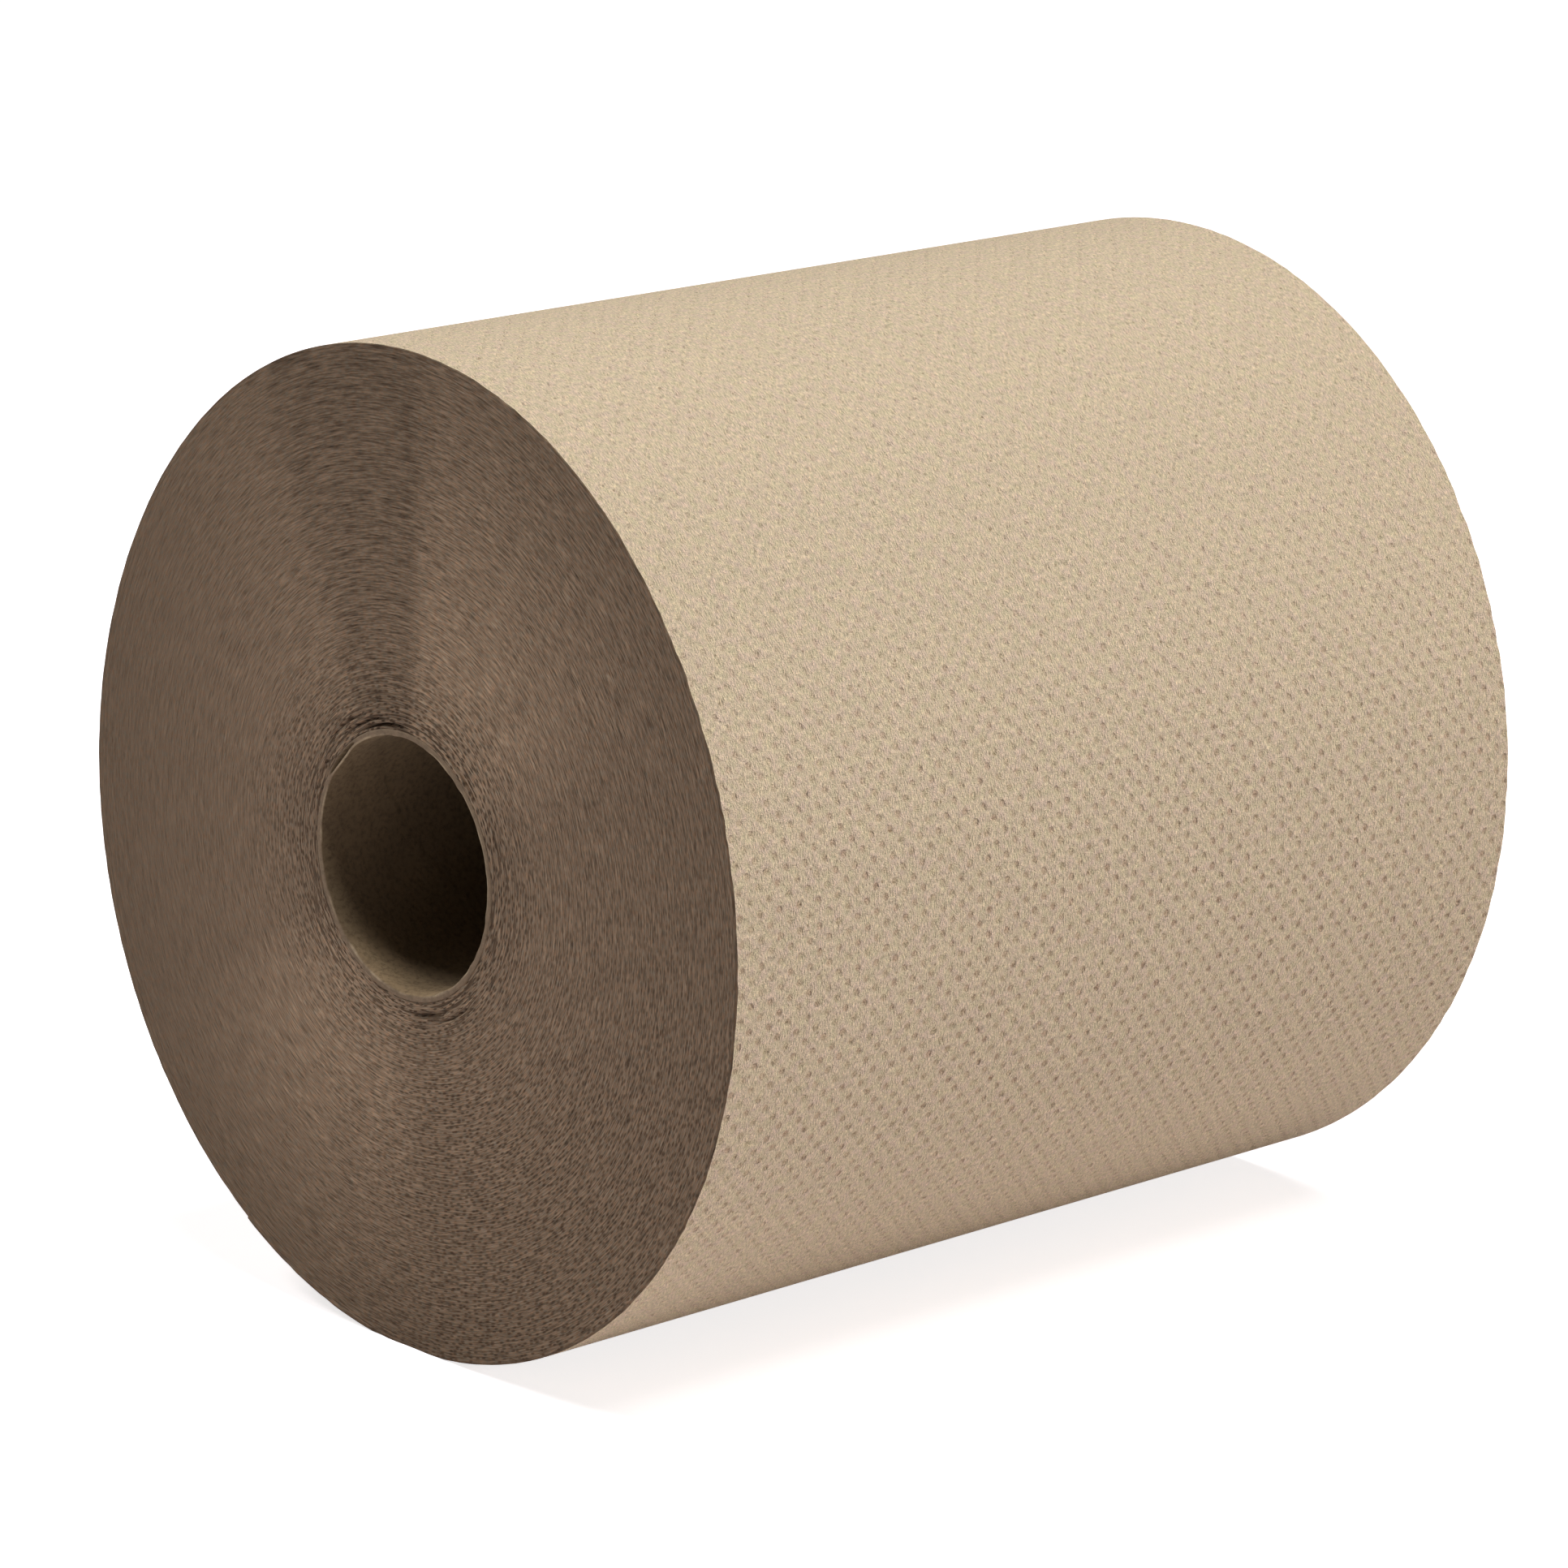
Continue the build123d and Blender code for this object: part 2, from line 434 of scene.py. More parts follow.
def wound_edges(look):
    """Cut edges of the same tissue, some six hundred turns pressed side by side.

    Darker than the sheet, because light sinks between the turns, and streaked along them; short dashes of
    painted shade show where dimples meet, drawn strongest low on the +X half and around the core, and paler
    wedges of painted sheen and darker ones of painted shade run out from the core. On the web's map X is the
    length along a turn and Y its radius.
    """
    material, tree, output = empty_material("wound_tissue_edges")
    add = partial(add_node, tree)
    place = add("ShaderNodeUVMap", uv_map=WEB_MAP)
    turns, tints, slits, bundles = [
        add(
            "ShaderNodeTexNoise",
            {
                "Vector": add("ShaderNodeMapping", {"Vector": place, "Scale": stretch(size)}),
                "Scale": 1.0,
                "Detail": detail,
                "Roughness": roughness,
            },
            noise_dimensions="2D",
        )
        for size, detail, roughness in (
            (STREAK, 3.0, 0.6),
            (TINT, 2.0, 0.5),
            (SLIT, 1.0, 0.5),
            (BUNDLE, 1.0, 0.5),
        )
    ]
    gap_place = add("ShaderNodeMapping", {"Vector": place, "Scale": stretch(DASH)})
    gaps = add(
        "ShaderNodeTexVoronoi",
        {"Vector": gap_place, "Scale": 1.0, "Randomness": 0.85},
        voronoi_dimensions="2D",
    )
    patches = add(
        "ShaderNodeTexNoise", {"Vector": place, "Scale": 1 / PATCH, "Detail": 3.0}, noise_dimensions="2D"
    )
    spot = add("ShaderNodeSeparateXYZ", {0: add("ShaderNodeTexCoord").outputs["Object"]})
    polar = add("ShaderNodeSeparateXYZ", {0: place})
    radius = polar.outputs["Y"]

    # Dashes: painted shade in the gaps where dimples meet, drawn stronger low on the +X half, and near the
    # core, where the turns are looser, than elsewhere
    right = add(
        "ShaderNodeMapRange",
        {
            "Value": spot.outputs["X"],
            "From Min": -35 * MM,
            "From Max": 12 * MM,
            "To Min": 0.06,
            "To Max": 1.0,
        },
    )
    low = add(
        "ShaderNodeMapRange",
        {
            "Value": spot.outputs["Z"],
            "From Min": 15 * MM,
            "From Max": -40 * MM,
            "To Min": 0.20,
            "To Max": 0.55,
        },
    )
    low_right = add("ShaderNodeMath", {0: right, 1: low}, operation="MULTIPLY")
    near = add("ShaderNodeMapRange", {"Value": radius, "From Min": 50.0, "From Max": 28.0, "To Max": 0.75})
    dash_spread = add("ShaderNodeMath", {0: low_right, 1: near}, operation="MAXIMUM")
    patchy = add(
        "ShaderNodeMapRange", {"Value": patches, "From Min": 0.35, "From Max": 0.65, "To Max": 0.12}
    )
    dash_shade_strength = add("ShaderNodeMath", {0: dash_spread, 1: patchy}, operation="ADD")
    pit = add("ShaderNodeMapRange", {"Value": gaps, "From Min": 0.34, "From Max": 0.14})
    dash = add("ShaderNodeMath", {0: pit, 1: dash_shade_strength}, operation="MULTIPLY")

    # Slits: painted shade in long thin gaps between turns gone slack around the core
    slack = add("ShaderNodeMapRange", {"Value": radius, "From Min": 40.0, "From Max": 28.0, "To Max": 0.8})
    thin = add("ShaderNodeMapRange", {"Value": slits, "From Min": 0.58, "From Max": 0.70})
    slit = add("ShaderNodeMath", {0: thin, 1: slack}, operation="MULTIPLY")
    inner_gap = add("ShaderNodeMath", {0: dash, 1: slit}, operation="MAXIMUM")

    # The last turn stands a little off the next, and its shadow on the end is painted
    outer = look.diameter / 2 / MM
    last_gap = add(
        "ShaderNodeMapRange",
        {"Value": radius, "From Min": outer - LAST_GAP, "From Max": outer - LAST_GAP / 2, "To Max": 0.4},
    )
    opening = add("ShaderNodeMath", {0: inner_gap, 1: last_gap}, operation="MAXIMUM")

    # Wedges: a painted sheen, paler wedges with darker ground between them that run out from the core and
    # fade towards the rim; the ends also darken towards the outer turns
    turned = add("ShaderNodeMath", {0: polar.outputs["X"], 1: radius}, operation="DIVIDE")
    uneven = add("ShaderNodeTexNoise", {"W": turned, "Scale": 3.2, "Detail": 2.0}, noise_dimensions="1D")
    shift = add(
        "ShaderNodeMapRange",
        {"Value": uneven, "From Min": 0.2, "From Max": 0.8, "To Min": -0.45, "To Max": 0.45},
    )
    across = add("ShaderNodeMath", {0: turned, 1: 2.0, 2: shift}, operation="MULTIPLY_ADD")
    facing = add("ShaderNodeMath", {0: across}, operation="COSINE")
    sheen_wedge = add(
        "ShaderNodeMapRange",
        {"Value": facing, "From Min": 0.2, "To Min": -0.10, "To Max": 0.22},
        interpolation_type="SMOOTHSTEP",
    )
    fading = add("ShaderNodeMapRange", {"Value": radius, "From Min": 92.0, "From Max": 48.0})
    outwards = add(
        "ShaderNodeMapRange",
        {"Value": radius, "From Min": 45.0, "From Max": 95.0, "To Min": 1.03, "To Max": 0.78},
    )
    paler = add("ShaderNodeMath", {0: sheen_wedge, 1: fading, 2: outwards}, operation="MULTIPLY_ADD")

    # Over the core one wedge has gone slack: painted shade darkens it, and bundles of turns show
    off_slack = add("ShaderNodeMath", {0: turned, 1: SLACK_TURN}, operation="SUBTRACT")
    from_slack = add("ShaderNodeMath", {0: off_slack}, operation="ABSOLUTE")
    slack_shade = add(
        "ShaderNodeMapRange",
        {"Value": from_slack, "From Min": 0.36, "From Max": 0.18, "To Max": 0.18},
        interpolation_type="SMOOTHSTEP",
    )
    shaded = add("ShaderNodeMath", {0: paler, 1: slack_shade}, operation="SUBTRACT")
    # The -X half of each end is drawn darker
    minus_x_darkening = add(
        "ShaderNodeMapRange",
        {
            "Value": spot.outputs["X"],
            "From Min": -85 * MM,
            "From Max": -25 * MM,
            "To Min": 0.89,
            "To Max": 1.0,
        },
    )
    end_tone = add("ShaderNodeMath", {0: shaded, 1: minus_x_darkening}, operation="MULTIPLY")

    # Streaks: single turns, which stand out less on the -X half, and bundles of them
    contrast = add(
        "ShaderNodeMapRange",
        {
            "Value": spot.outputs["X"],
            "From Min": -75 * MM,
            "From Max": -20 * MM,
            "To Min": 1.0,
            "To Max": 2.4,
        },
    )
    uneven_turns = add("ShaderNodeMath", {0: turns, 1: 0.5}, operation="SUBTRACT")
    ridge = add("ShaderNodeMath", {0: uneven_turns, 1: contrast, 2: 1.0}, operation="MULTIPLY_ADD")
    bundle = add(
        "ShaderNodeMapRange",
        {"Value": bundles, "From Min": 0.3, "From Max": 0.7, "To Min": -0.08, "To Max": 0.08},
    )
    parted = add("ShaderNodeMath", {0: slack_shade, 1: 8.0, 2: 1.0}, operation="MULTIPLY_ADD")
    streaked = add("ShaderNodeMath", {0: bundle, 1: parted, 2: ridge}, operation="MULTIPLY_ADD")

    lit = add("ShaderNodeMath", {0: streaked, 1: end_tone}, operation="MULTIPLY")
    tinted = add("ShaderNodeMapRange", {"Value": tints, "From Min": 0.3, "From Max": 0.7})
    edge = add(
        "ShaderNodeMix", {0: tinted, 6: (*look.cut_edge, 1.0), 7: (*look.cut_tint, 1.0)}, data_type="RGBA"
    )
    rows = add("ShaderNodeVectorMath", {0: edge.outputs[2], "Scale": lit}, operation="SCALE")
    # Painted shade: the gaps, dashes and slits and the last turn's shadow take the dark colour of the gaps
    colour = add("ShaderNodeMix", {0: opening, 6: rows, 7: (*look.gap, 1.0)}, data_type="RGBA")
    sunk = add("ShaderNodeMath", {0: turns, 1: inner_gap}, operation="SUBTRACT")
    bump = add("ShaderNodeBump", {"Height": sunk, "Strength": 1.0, "Distance": 0.4 * MM})
    shader = add(
        "ShaderNodeBsdfPrincipled",
        {
            "Base Color": colour.outputs[2],
            "Roughness": 0.95,
            "IOR": 1.5,
            "Specular IOR Level": 0.1,
            "Normal": bump,
        },
    )
    tree.links.new(shader.outputs[0], output.inputs["Surface"])
    return material


def core_board(look):
    """Spirally wound recycled board, cut by a saw.

    Matt grey brown with dark fibres and faint stains; a painted pool of light lies low in the bore near the
    ends, and the cut ends are paler, with the bore's edge burred, ragged and painted with a pale highlight.
    """
    material, tree, output = empty_material("spiral_wound_board")
    add = partial(add_node, tree)
    place = add("ShaderNodeTexCoord").outputs["Object"]
    fibres = add(
        "ShaderNodeTexNoise", {"Vector": place, "Scale": 1 / BOARD_FIBRE, "Detail": 5.0, "Roughness": 0.65}
    )
    stains = add("ShaderNodeTexNoise", {"Vector": place, "Scale": 1 / STAIN, "Detail": 3.0})
    torn = add("ShaderNodeTexNoise", {"Vector": place, "Scale": 1 / TEAR, "Detail": 3.0})
    spot = add("ShaderNodeSeparateXYZ", {0: place})
    along = add("ShaderNodeMath", {0: spot.outputs["Y"]}, operation="ABSOLUTE")

    # Walls of the tube
    speckle = add("ShaderNodeMapRange", {"Value": fibres, "From Min": 0.45, "From Max": 0.72, "To Max": 0.8})
    board = add(
        "ShaderNodeMix", {0: speckle, 6: (*look.board, 1.0), 7: (*look.speck, 1.0)}, data_type="RGBA"
    )
    shade = add(
        "ShaderNodeMapRange",
        {"Value": stains, "From Min": 0.3, "From Max": 0.7, "To Min": 0.88, "To Max": 1.10},
    )
    # Painted light: the bore's floor is drawn paler near the ends, where light comes in at the mouths
    by_mouth = add(
        "ShaderNodeMapRange", {"Value": along, "From Min": WEB_HIGH.y - LIGHT_POOL_REACH, "From Max": WEB_HIGH.y}
    )
    low = add(
        "ShaderNodeMapRange",
        {"Value": spot.outputs["Z"], "From Min": -12 * MM, "From Max": -23 * MM, "To Max": 0.6},
    )
    light_pool = add("ShaderNodeMath", {0: by_mouth, 1: low, 2: 1.0}, operation="MULTIPLY_ADD")
    stain_and_light = add("ShaderNodeMath", {0: shade, 1: light_pool}, operation="MULTIPLY")
    stained = add("ShaderNodeVectorMath", {0: board.outputs[2], "Scale": stain_and_light}, operation="SCALE")

    # Cut ends
    flat = add("ShaderNodeVectorMath", {0: place, 1: (1, 0, 1)}, operation="MULTIPLY")
    radius = add("ShaderNodeVectorMath", {0: flat}, operation="LENGTH")
    inner = add(
        "ShaderNodeMapRange",
        {
            "Value": radius.outputs["Value"],
            "From Min": look.bore / 2 + 0.45 * MM,
            "From Max": look.bore / 2 + 0.2 * MM,
        },
    )
    # Painted highlight: a ragged pale line along the bore's edge, partly burred board from the saw
    ragged = add("ShaderNodeMapRange", {"Value": torn, "From Min": 0.45, "From Max": 0.6})
    burr_and_glint = add("ShaderNodeMath", {0: inner, 1: ragged}, operation="MULTIPLY")
    sawn = add("ShaderNodeMix", {0: burr_and_glint, 6: (*look.cut, 1.0), 7: (*look.burr_and_glint, 1.0)}, data_type="RGBA")
    streak = add(
        "ShaderNodeMapRange",
        {"Value": fibres, "From Min": 0.3, "From Max": 0.7, "To Min": 1.2, "To Max": 0.75},
    )
    edge = add("ShaderNodeVectorMath", {0: sawn.outputs[2], "Scale": streak}, operation="SCALE")
    cut = add(
        "ShaderNodeMapRange",
        {"Value": along, "From Min": WEB_HIGH.y - 0.3 * MM, "From Max": WEB_HIGH.y - 0.05 * MM},
    )
    colour = add("ShaderNodeMix", {0: cut, 6: stained, 7: edge}, data_type="RGBA")
    bump = add("ShaderNodeBump", {"Height": fibres, "Strength": 0.5, "Distance": 0.1 * MM})
    shader = add(
        "ShaderNodeBsdfPrincipled",
        {
            "Base Color": colour.outputs[2],
            "Roughness": 0.85,
            "IOR": 1.5,
            "Specular IOR Level": 0.3,
            "Normal": bump,
        },
    )
    tree.links.new(shader.outputs[0], output.inputs["Surface"])
    return material


def place_piece(context, bm, name, materials, node):
    """Make a finished bmesh a piece that stands for a CAD node and rides on the roll's only body."""
    mesh = bpy.data.meshes.new(name)
    bm.to_mesh(mesh)
    bm.free()
    for material in materials:
        mesh.materials.append(material)
    piece = bpy.data.objects.new(name, mesh)
    context.scene.collection.objects.link(piece)
    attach(piece, "root")
    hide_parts(node)


def new_parts(made, kind):
    """The vertices, edges or faces among what an operator made."""
    return [part for part in made if isinstance(part, kind)]


def within(value):
    """A value held between 0 and 1."""
    return min(1, max(0, value))


def on_circle(angle, radius):
    """Spot on a circle, from which noise that runs round the roll is read."""
    return Vector((math.cos(math.radians(angle)), math.sin(math.radians(angle)), 0)) * radius


def roll_radius(web, angle):
    """Radius of the slightly oval, slightly egg-shaped outside, about its own centre."""
    oval = OVAL * math.cos(2 * math.radians(angle - OVAL_ANGLE))
    lobe = LOBE * math.cos(3 * math.radians(angle - LOBE_ANGLE))
    return web.diameter / 2 * (1 + oval + lobe)


def web_angle(web, x):
    """Angle on the roll of a spot along the flat web."""
    return TAIL_ANGLE + 360 * (x / (math.pi * web.diameter) + 0.5)


def emboss(bm, web):
    """Press a dimple into every second cell of the flat web, staggered row by row."""
    chance = random.Random(SEED)
    cell = web_cell(web)

    def pressed(face):
        middle = face.calc_center_median()
        column = math.floor(middle.x / cell.x + 0.5 * web.columns)
        row = math.floor(middle.y / cell.y + 0.5 * web.rows)
        return (column + row) % 2

    cells = [face for face in bm.faces if pressed(face)]
    bmesh.ops.inset_individual(
        bm,
        faces=cells,
        thickness=(cell.y - web.dimple) / 2,
        depth=-SHOULDER * web.dimple_depth,
        use_even_offset=True,
    )
    for face in cells:
        middle = face.calc_center_median()
        turn = math.radians(DIMPLE_TURN + chance.uniform(-DIMPLE_TWIST, DIMPLE_TWIST))
        shift = Vector((chance.gauss(0, DIMPLE_STRAY), chance.gauss(0, DIMPLE_STRAY), 0)) * MM
        scale = chance.uniform(*DIMPLE_SIZES)
        for vertex in face.verts:
            arm = (vertex.co - middle) * scale
            arm.rotate(Euler((0, 0, turn)))
            vertex.co = middle + arm + shift
    pits = bmesh.ops.poke(bm, faces=cells, offset=(SHOULDER - 1) * web.dimple_depth, center_mode="MEAN")
    for vertex in pits["verts"]:
        low = -math.sin(math.radians(web_angle(web, vertex.co.x)))
        flattened = FLATTENED * within((low - FLATTENED_FROM) / FLATTENED_OVER)
        vertex.co.z *= chance.uniform(*DIMPLE_DEPTHS) * (1 - flattened)


def end_relief(angle, radius):
    """How far a turn's edge stands out of an end: a little uneven, and sunk where turns are slack."""
    spot = on_circle(angle, radius) / RELIEF_LENGTH + Vector((0, 0, radius / RELIEF_WIDTH))
    relief = -RELIEF * (1 + noise.noise(spot))
    for middle, spread, place, opening in LOOSE_TURNS:
        away = (angle - middle + 180) % 360 - 180
        if abs(away) < spread / 2 and abs(radius - place) < LOOSE_PITCH / 2:
            relief -= LOOSE_DEPTH * opening * math.cos(math.pi * away / spread) ** 2
    return relief


def edge_wave(angle, radius):
    """How far the outer turn's cut edge draws back from an end, in short waves, most of all on +X."""
    reach = WAVE * (WAVE_MEAN + WAVE_SWING * math.cos(math.radians(angle)))
    return -reach * within(0.5 + WAVE_STEEPNESS * noise.noise(on_circle(angle, radius) / WAVE_LENGTH))


def wind_end(bm, web, core_radius, side):
    """Grow one wound end inwards from the web's edge, ring by ring, down to the core."""
    wound = web.diameter / 2 - core_radius
    firm = wound - (LOOSE_REACH - core_radius)
    firm_rings = math.ceil(firm / RING_PITCH)
    loose_rings = round((LOOSE_REACH - core_radius) / LOOSE_PITCH)
    depths = [RIM, TAIL_REACH]
    depths += [firm * i / firm_rings for i in range(1, firm_rings + 1)]
    depths += [wound - LOOSE_PITCH * i for i in reversed(range(loose_rings))]
    edge_y = side * (web.width / 2 - RIM)
    edges = [
        edge for edge in bm.edges
        if edge.is_boundary and all(abs(vertex.co.y - edge_y) < NEAR for vertex in edge.verts)
    ]
    for vertex in {vertex for edge in edges for vertex in edge.verts}:
        vertex.co.y += side * edge_wave(web_angle(web, vertex.co.x), web.diameter / 2)
    for depth in depths:
        made = bmesh.ops.extrude_edge_only(bm, edges=edges)["geom"]
        grown = set(new_parts(made, bmesh.types.BMVert))
        edges = [edge for edge in new_parts(made, bmesh.types.BMEdge) if grown.issuperset(edge.verts)]
        for face in new_parts(made, bmesh.types.BMFace):
            face.material_index = CUT_EDGE
        for vertex in grown:
            angle = web_angle(web, vertex.co.x)
            if depth > RIM:
                relief = end_relief(angle, web.diameter / 2 - depth)
            else:
                relief = edge_wave(angle, web.diameter / 2)
            vertex.co.y = side * (web.width / 2 + relief)
            vertex.co.z = -depth


def map_web(bm, web, girth):
    """Give the flat web its UV map in millimetres; on an end each ring of turns keeps its own length."""
    layer = bm.loops.layers.uv.new(WEB_MAP)
    for face in bm.faces:
        ring = web.diameter / 2 + sum(vertex.co.z for vertex in face.verts) / len(face.verts)
        for loop in face.loops:
            spot = loop.vert.co
            if face.material_index == CUT_EDGE:
                along = math.tau * (spot.x / girth) * ring
                loop[layer].uv = (along / MM, (web.diameter / 2 + spot.z) / MM)
            else:
                loop[layer].uv = (spot.x / MM, spot.y / MM)


def bend_web(bm, web, girth, core_radius):
    """Bend the flat web and its ends round the core, and press flat the spot that the roll lies on."""
    wound = web.diameter / 2 - core_radius
    for vertex in bm.verts:
        turn = vertex.co.x / girth + 0.5
        angle = TAIL_ANGLE + 360 * turn
        depth = -vertex.co.z
        lift = web.tail_step * (1 - turn) * max(0, 1 - max(0, depth) / TAIL_REACH)
        way = Vector((math.cos(math.radians(angle)), 0, math.sin(math.radians(angle))))
        outside = Vector((CENTRE_X, 0, CENTRE_Z)) + way * (roll_radius(web, angle) + lift)
        spot = outside.lerp(way * core_radius, depth / wound)
        vertex.co = (spot.x, vertex.co.y, max(spot.z, WEB_LOW.z))


class TOWELROLL_OT_web(bpy.types.Operator):
    """Make the wound web: embossed outside, both wound ends and the edge of the free tail"""

    bl_idname = "towelroll.web"
    bl_label = "Wound web"

    def execute(self, context):
        web = context.scene.towel_web
        core = context.scene.towel_core
        core_radius = core.bore / 2 + core.wall
        girth = math.pi * web.diameter
        bm = bmesh.new()
        bmesh.ops.create_grid(bm, x_segments=web.columns, y_segments=web.rows, size=0.5)
        bmesh.ops.scale(bm, verts=bm.verts, vec=(girth, web.width - 2 * RIM, 1))
        emboss(bm, web)
        for side in SIDES:
            wind_end(bm, web, core_radius, side)
        map_web(bm, web, girth)

        # Both ends of the flat web, which meet under the tail, and the two edges of its step
        half = girth / 2 - NEAR
        first = [vertex for vertex in bm.verts if vertex.co.x < -half]
        last = [vertex for vertex in bm.verts if vertex.co.x > half]
        under_rim = -1.01 * RIM
        step = [
            edge for edge in bm.edges
            if edge.is_boundary
            and all(abs(vertex.co.x) > half and vertex.co.z > under_rim for vertex in edge.verts)
        ]

        # The hole for the core at both ends, and the sharp edges of the rim
        bore_depth = web.diameter / 2 - core_radius - NEAR
        bore = [
            edge for edge in bm.edges
            if edge.is_boundary and all(vertex.co.z < -bore_depth for vertex in edge.verts)
        ]
        rim_y = web.width / 2 - WAVE + under_rim
        rim = [
            edge for edge in bm.edges
            if len(edge.link_faces) == 2
            and len({round(vertex.co.z / MM, 3) for vertex in edge.verts}) == 1
            and all(abs(vertex.co.y) > rim_y and vertex.co.z > under_rim for vertex in edge.verts)
        ]
        for face in bm.faces:
            face.smooth = True
        for edge in rim:
            edge.smooth = False
        bend_web(bm, web, girth, core_radius)
        bmesh.ops.bridge_loops(bm, edges=step)
        bmesh.ops.bridge_loops(bm, edges=bore)
        bmesh.ops.remove_doubles(bm, verts=first + last, dist=NEAR / 2)
        bmesh.ops.holes_fill(bm, edges=[edge for edge in bm.edges if edge.is_boundary], sides=4)
        bmesh.ops.recalc_face_normals(bm, faces=bm.faces)
        if not all(edge.is_manifold for edge in bm.edges):
            raise RuntimeError("the wound web is not closed")
        finishes = [kraft_towel(web), wound_edges(web)]
        place_piece(context, bm, "towel_roll_web", finishes, "towel_roll")
        return {"FINISHED"}


def loosen_ply(bm, core, half):
    """Lay the inner ply's edge along its spiral, and lift and fray the ply at the near end."""
    inside = core.bore / 2
    inner_ply, next_ply = [inside + core.wall * share for share in PLY_LIMITS]
    for vertex in bm.verts:
        radius = vertex.co.xz.length
        angle = math.degrees(math.atan2(vertex.co.z, vertex.co.x))
        along = vertex.co.y + half
        past = (angle - PLY_ANGLE) % 360
        if radius < inside + PLY and past < PLY_OVERLAP:
            radius -= PLY * (1 - past / PLY_OVERLAP)
        angle += 360 * along / core.lead
        away = ((angle - LIFT_ANGLE + 180) % 360 - 180) / (LIFT_SPREAD / 2)
        by_end = max(0, 1 - along / LIFT_LENGTH)
        lift = max(0, 1 - away * away) ** 2 * by_end
        if radius < inner_ply:
            fray = noise.noise(on_circle(angle, inside) / FRAY_LENGTH)
            radius -= LIFT * lift + FRAY * max(0, fray) * by_end
        elif radius < next_ply:
            vertex.co.y += LIFT_GAP * lift
        way = math.radians(angle)
        vertex.co.x, vertex.co.z = radius * math.cos(way), radius * math.sin(way)


class TOWELROLL_OT_core(bpy.types.Operator):
    """Make the spirally wound core with the edge of its inner ply"""

    bl_idname = "towelroll.core"
    bl_label = "Board core"

    def execute(self, context):
        core = context.scene.towel_core
        half = context.scene.towel_web.width / 2
        inside, outside = core.bore / 2, core.bore / 2 + core.wall
        bm = bmesh.new()

        # Section of the wall: three plies on each cut end, and long sides cut for the spiral
        plies = [inside + core.wall * share for share in PLY_SHARES]
        section = [(ply, -half) for ply in plies] + [(ply, half) for ply in reversed(plies)]
        corners = [bm.verts.new((ply, y, 0)) for ply, y in section]
        sides = [bm.edges.new((corners[i - 1], corners[i])) for i in range(len(corners))]
        long_sides = [edge for edge in sides if edge.calc_length() > half]
        bmesh.ops.subdivide_edges(bm, edges=long_sides, cuts=CORE_CUTS)
        bmesh.ops.spin(
            bm,
            geom=bm.verts[:] + bm.edges[:],
            cent=(0, 0, 0),
            axis=(0, -1, 0),
            angle=math.tau,
            steps=CORE_STEPS,
            use_merge=True,
        )
        bmesh.ops.remove_doubles(bm, verts=bm.verts, dist=NEAR / 10)

        def on_rim(vertex):
            reach = vertex.co.xz.length
            off_wall = min(abs(reach - inside), abs(reach - outside))
            return abs(vertex.co.y) > half - NEAR and off_wall < NEAR

        rims = [
            edge for edge in bm.edges
            if all(on_rim(vertex) for vertex in edge.verts) and edge.calc_length() < core.wall
        ]
        bmesh.ops.bevel(
            bm,
            geom=rims,
            offset=CORE_RIM,
            offset_type="OFFSET",
            affect="EDGES",
            segments=2,
            profile=0.5,
            material=-1,
        )
        loosen_ply(bm, core, half)
        bmesh.ops.recalc_face_normals(bm, faces=bm.faces)
        for face in bm.faces:
            face.smooth = True
        if not all(edge.is_manifold for edge in bm.edges):
            raise RuntimeError("the core is not closed")
        place_piece(context, bm, "core_tube_board", [core_board(core)], "core_tube")
        return {"FINISHED"}


def seen_share(tree):
    """A node that gives 1 where the eye sees a surface, straight on or mirrored, and 0 for cast light."""
    add = partial(add_node, tree)
    path = add("ShaderNodeLightPath").outputs
    mirrored = add(
        "ShaderNodeMath", {0: path["Is Glossy Ray"], 1: path["Is Transmission Ray"]}, operation="MAXIMUM"
    )
    return add("ShaderNodeMath", {0: path["Is Camera Ray"], 1: mirrored}, operation="MAXIMUM")


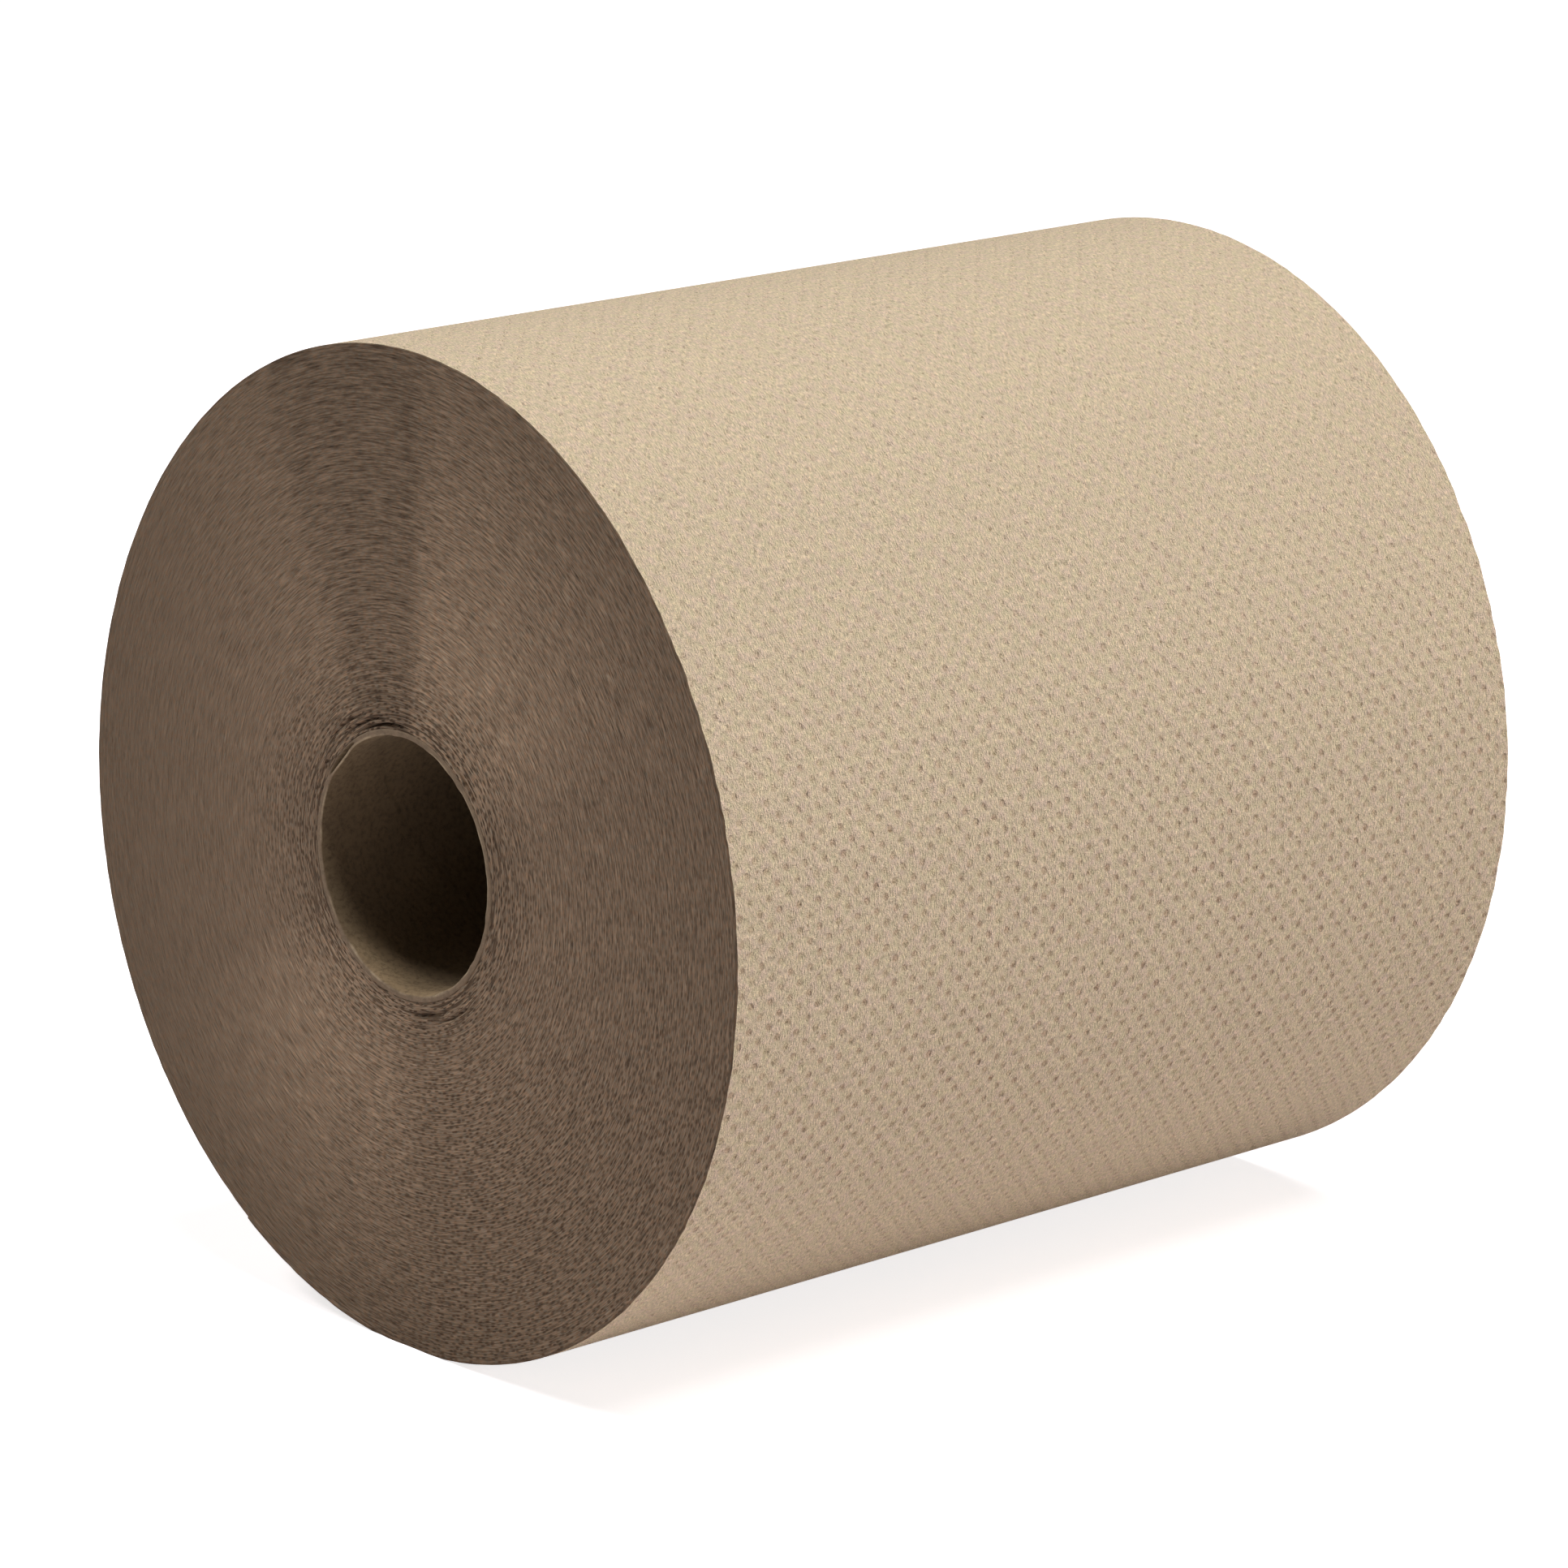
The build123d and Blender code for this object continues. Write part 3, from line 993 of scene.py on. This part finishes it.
class TOWELROLL_OT_stage(bpy.types.Operator):
    """Set the floor, the room, the lamps and the camera"""

    bl_idname = "towelroll.stage"
    bl_label = "Stage"

    def execute(self, context):
        look = context.scene.towel_stage
        scene = context.scene
        scene.view_settings.view_transform = "Standard"

        bm = bmesh.new()
        bmesh.ops.create_grid(bm, x_segments=1, y_segments=1, size=FLOOR_SIZE)
        bmesh.ops.translate(bm, verts=bm.verts, vec=(0, 0, WEB_LOW.z))
        mesh = bpy.data.meshes.new("floor")
        bm.to_mesh(mesh)
        bm.free()
        floor = bpy.data.objects.new("floor", mesh)
        scene.collection.objects.link(floor)

        # Painted floor: white to the eye, with a soft shadow under the roll
        material, tree, output = empty_material("painted_floor")
        glow = add_node(tree, "ShaderNodeMath", {0: seen_share(tree), 1: look.glow}, operation="MULTIPLY")
        paint = add_node(tree, "ShaderNodeBsdfDiffuse", {"Color": (*look.floor, 1.0)})
        white = add_node(tree, "ShaderNodeEmission", {"Strength": glow})
        both = add_node(tree, "ShaderNodeAddShader", {0: paint, 1: white})
        tree.links.new(both.outputs[0], output.inputs["Surface"])
        mesh.materials.append(material)

        # Room: even soft light on the roll, white to the eye
        world = bpy.data.worlds.new("studio_room")
        world.use_nodes = True
        scene.world = world
        tree = world.node_tree
        tree.nodes.clear()
        soft = add_node(tree, "ShaderNodeBackground", {"Color": (1, 1, 1, 1), "Strength": look.room})
        white = add_node(tree, "ShaderNodeBackground", {"Color": (1, 1, 1, 1), "Strength": 1.0})
        room = add_node(tree, "ShaderNodeMixShader", {0: seen_share(tree), 1: soft, 2: white})
        add_node(tree, "ShaderNodeOutputWorld", {"Surface": room})

        for name, size, place in LAMPS:
            lamp = bpy.data.lights.new(f"{name}_lamp", "AREA")
            lamp.energy = getattr(look, name)
            lamp.size = size
            holder = bpy.data.objects.new(f"{name}_lamp", lamp)
            holder.location = place
            holder.rotation_euler = (-Vector(place)).to_track_quat("-Z", "Y").to_euler()
            scene.collection.objects.link(holder)

        camera = bpy.data.cameras.new("camera")
        camera.sensor_width = CAMERA_SENSOR
        camera.lens = CAMERA_LENS
        camera.clip_start, camera.clip_end = CAMERA_NEAR, CAMERA_FAR
        eye = bpy.data.objects.new("camera", camera)
        eye.location = CAMERA_PLACE
        eye.rotation_euler = (math.radians(90 - CAMERA_DOWN), 0, math.radians(CAMERA_TURN))
        scene.collection.objects.link(eye)
        scene.camera = eye
        return {"FINISHED"}


class TOWELROLL_PT_sidebar(bpy.types.Panel):
    """Lists the roll's settings and the steps that build it"""

    bl_idname = "TOWELROLL_PT_sidebar"
    bl_label = "Towel Roll"
    bl_space_type = "VIEW_3D"
    bl_region_type = "UI"
    bl_category = "Towel Roll"

    def draw(self, context):
        for settings, step in STEPS:
            box = self.layout.box()
            group = getattr(context.scene, settings)
            for name in group.bl_rna.properties.keys():
                if name not in ("rna_type", "name"):
                    box.prop(group, name)
            box.operator(step)


STEPS = (
    ("towel_web", "towelroll.web"),
    ("towel_core", "towelroll.core"),
    ("towel_stage", "towelroll.stage"),
)
SETTINGS = {
    "towel_web": TowelWebSettings,
    "towel_core": TowelCoreSettings,
    "towel_stage": TowelStageSettings,
}
CLASSES = (
    *SETTINGS.values(),
    TOWELROLL_OT_web,
    TOWELROLL_OT_core,
    TOWELROLL_OT_stage,
    TOWELROLL_PT_sidebar,
)


def register():
    for cls in CLASSES:
        bpy.utils.register_class(cls)
    for name, group in SETTINGS.items():
        setattr(bpy.types.Scene, name, bpy.props.PointerProperty(type=group))


def unregister():
    for name in SETTINGS:
        delattr(bpy.types.Scene, name)
    for cls in reversed(CLASSES):
        bpy.utils.unregister_class(cls)


def main():
    register()
    bpy.ops.towelroll.web()
    bpy.ops.towelroll.core()
    bpy.ops.towelroll.stage()


if __name__ == "__main__":
    main()
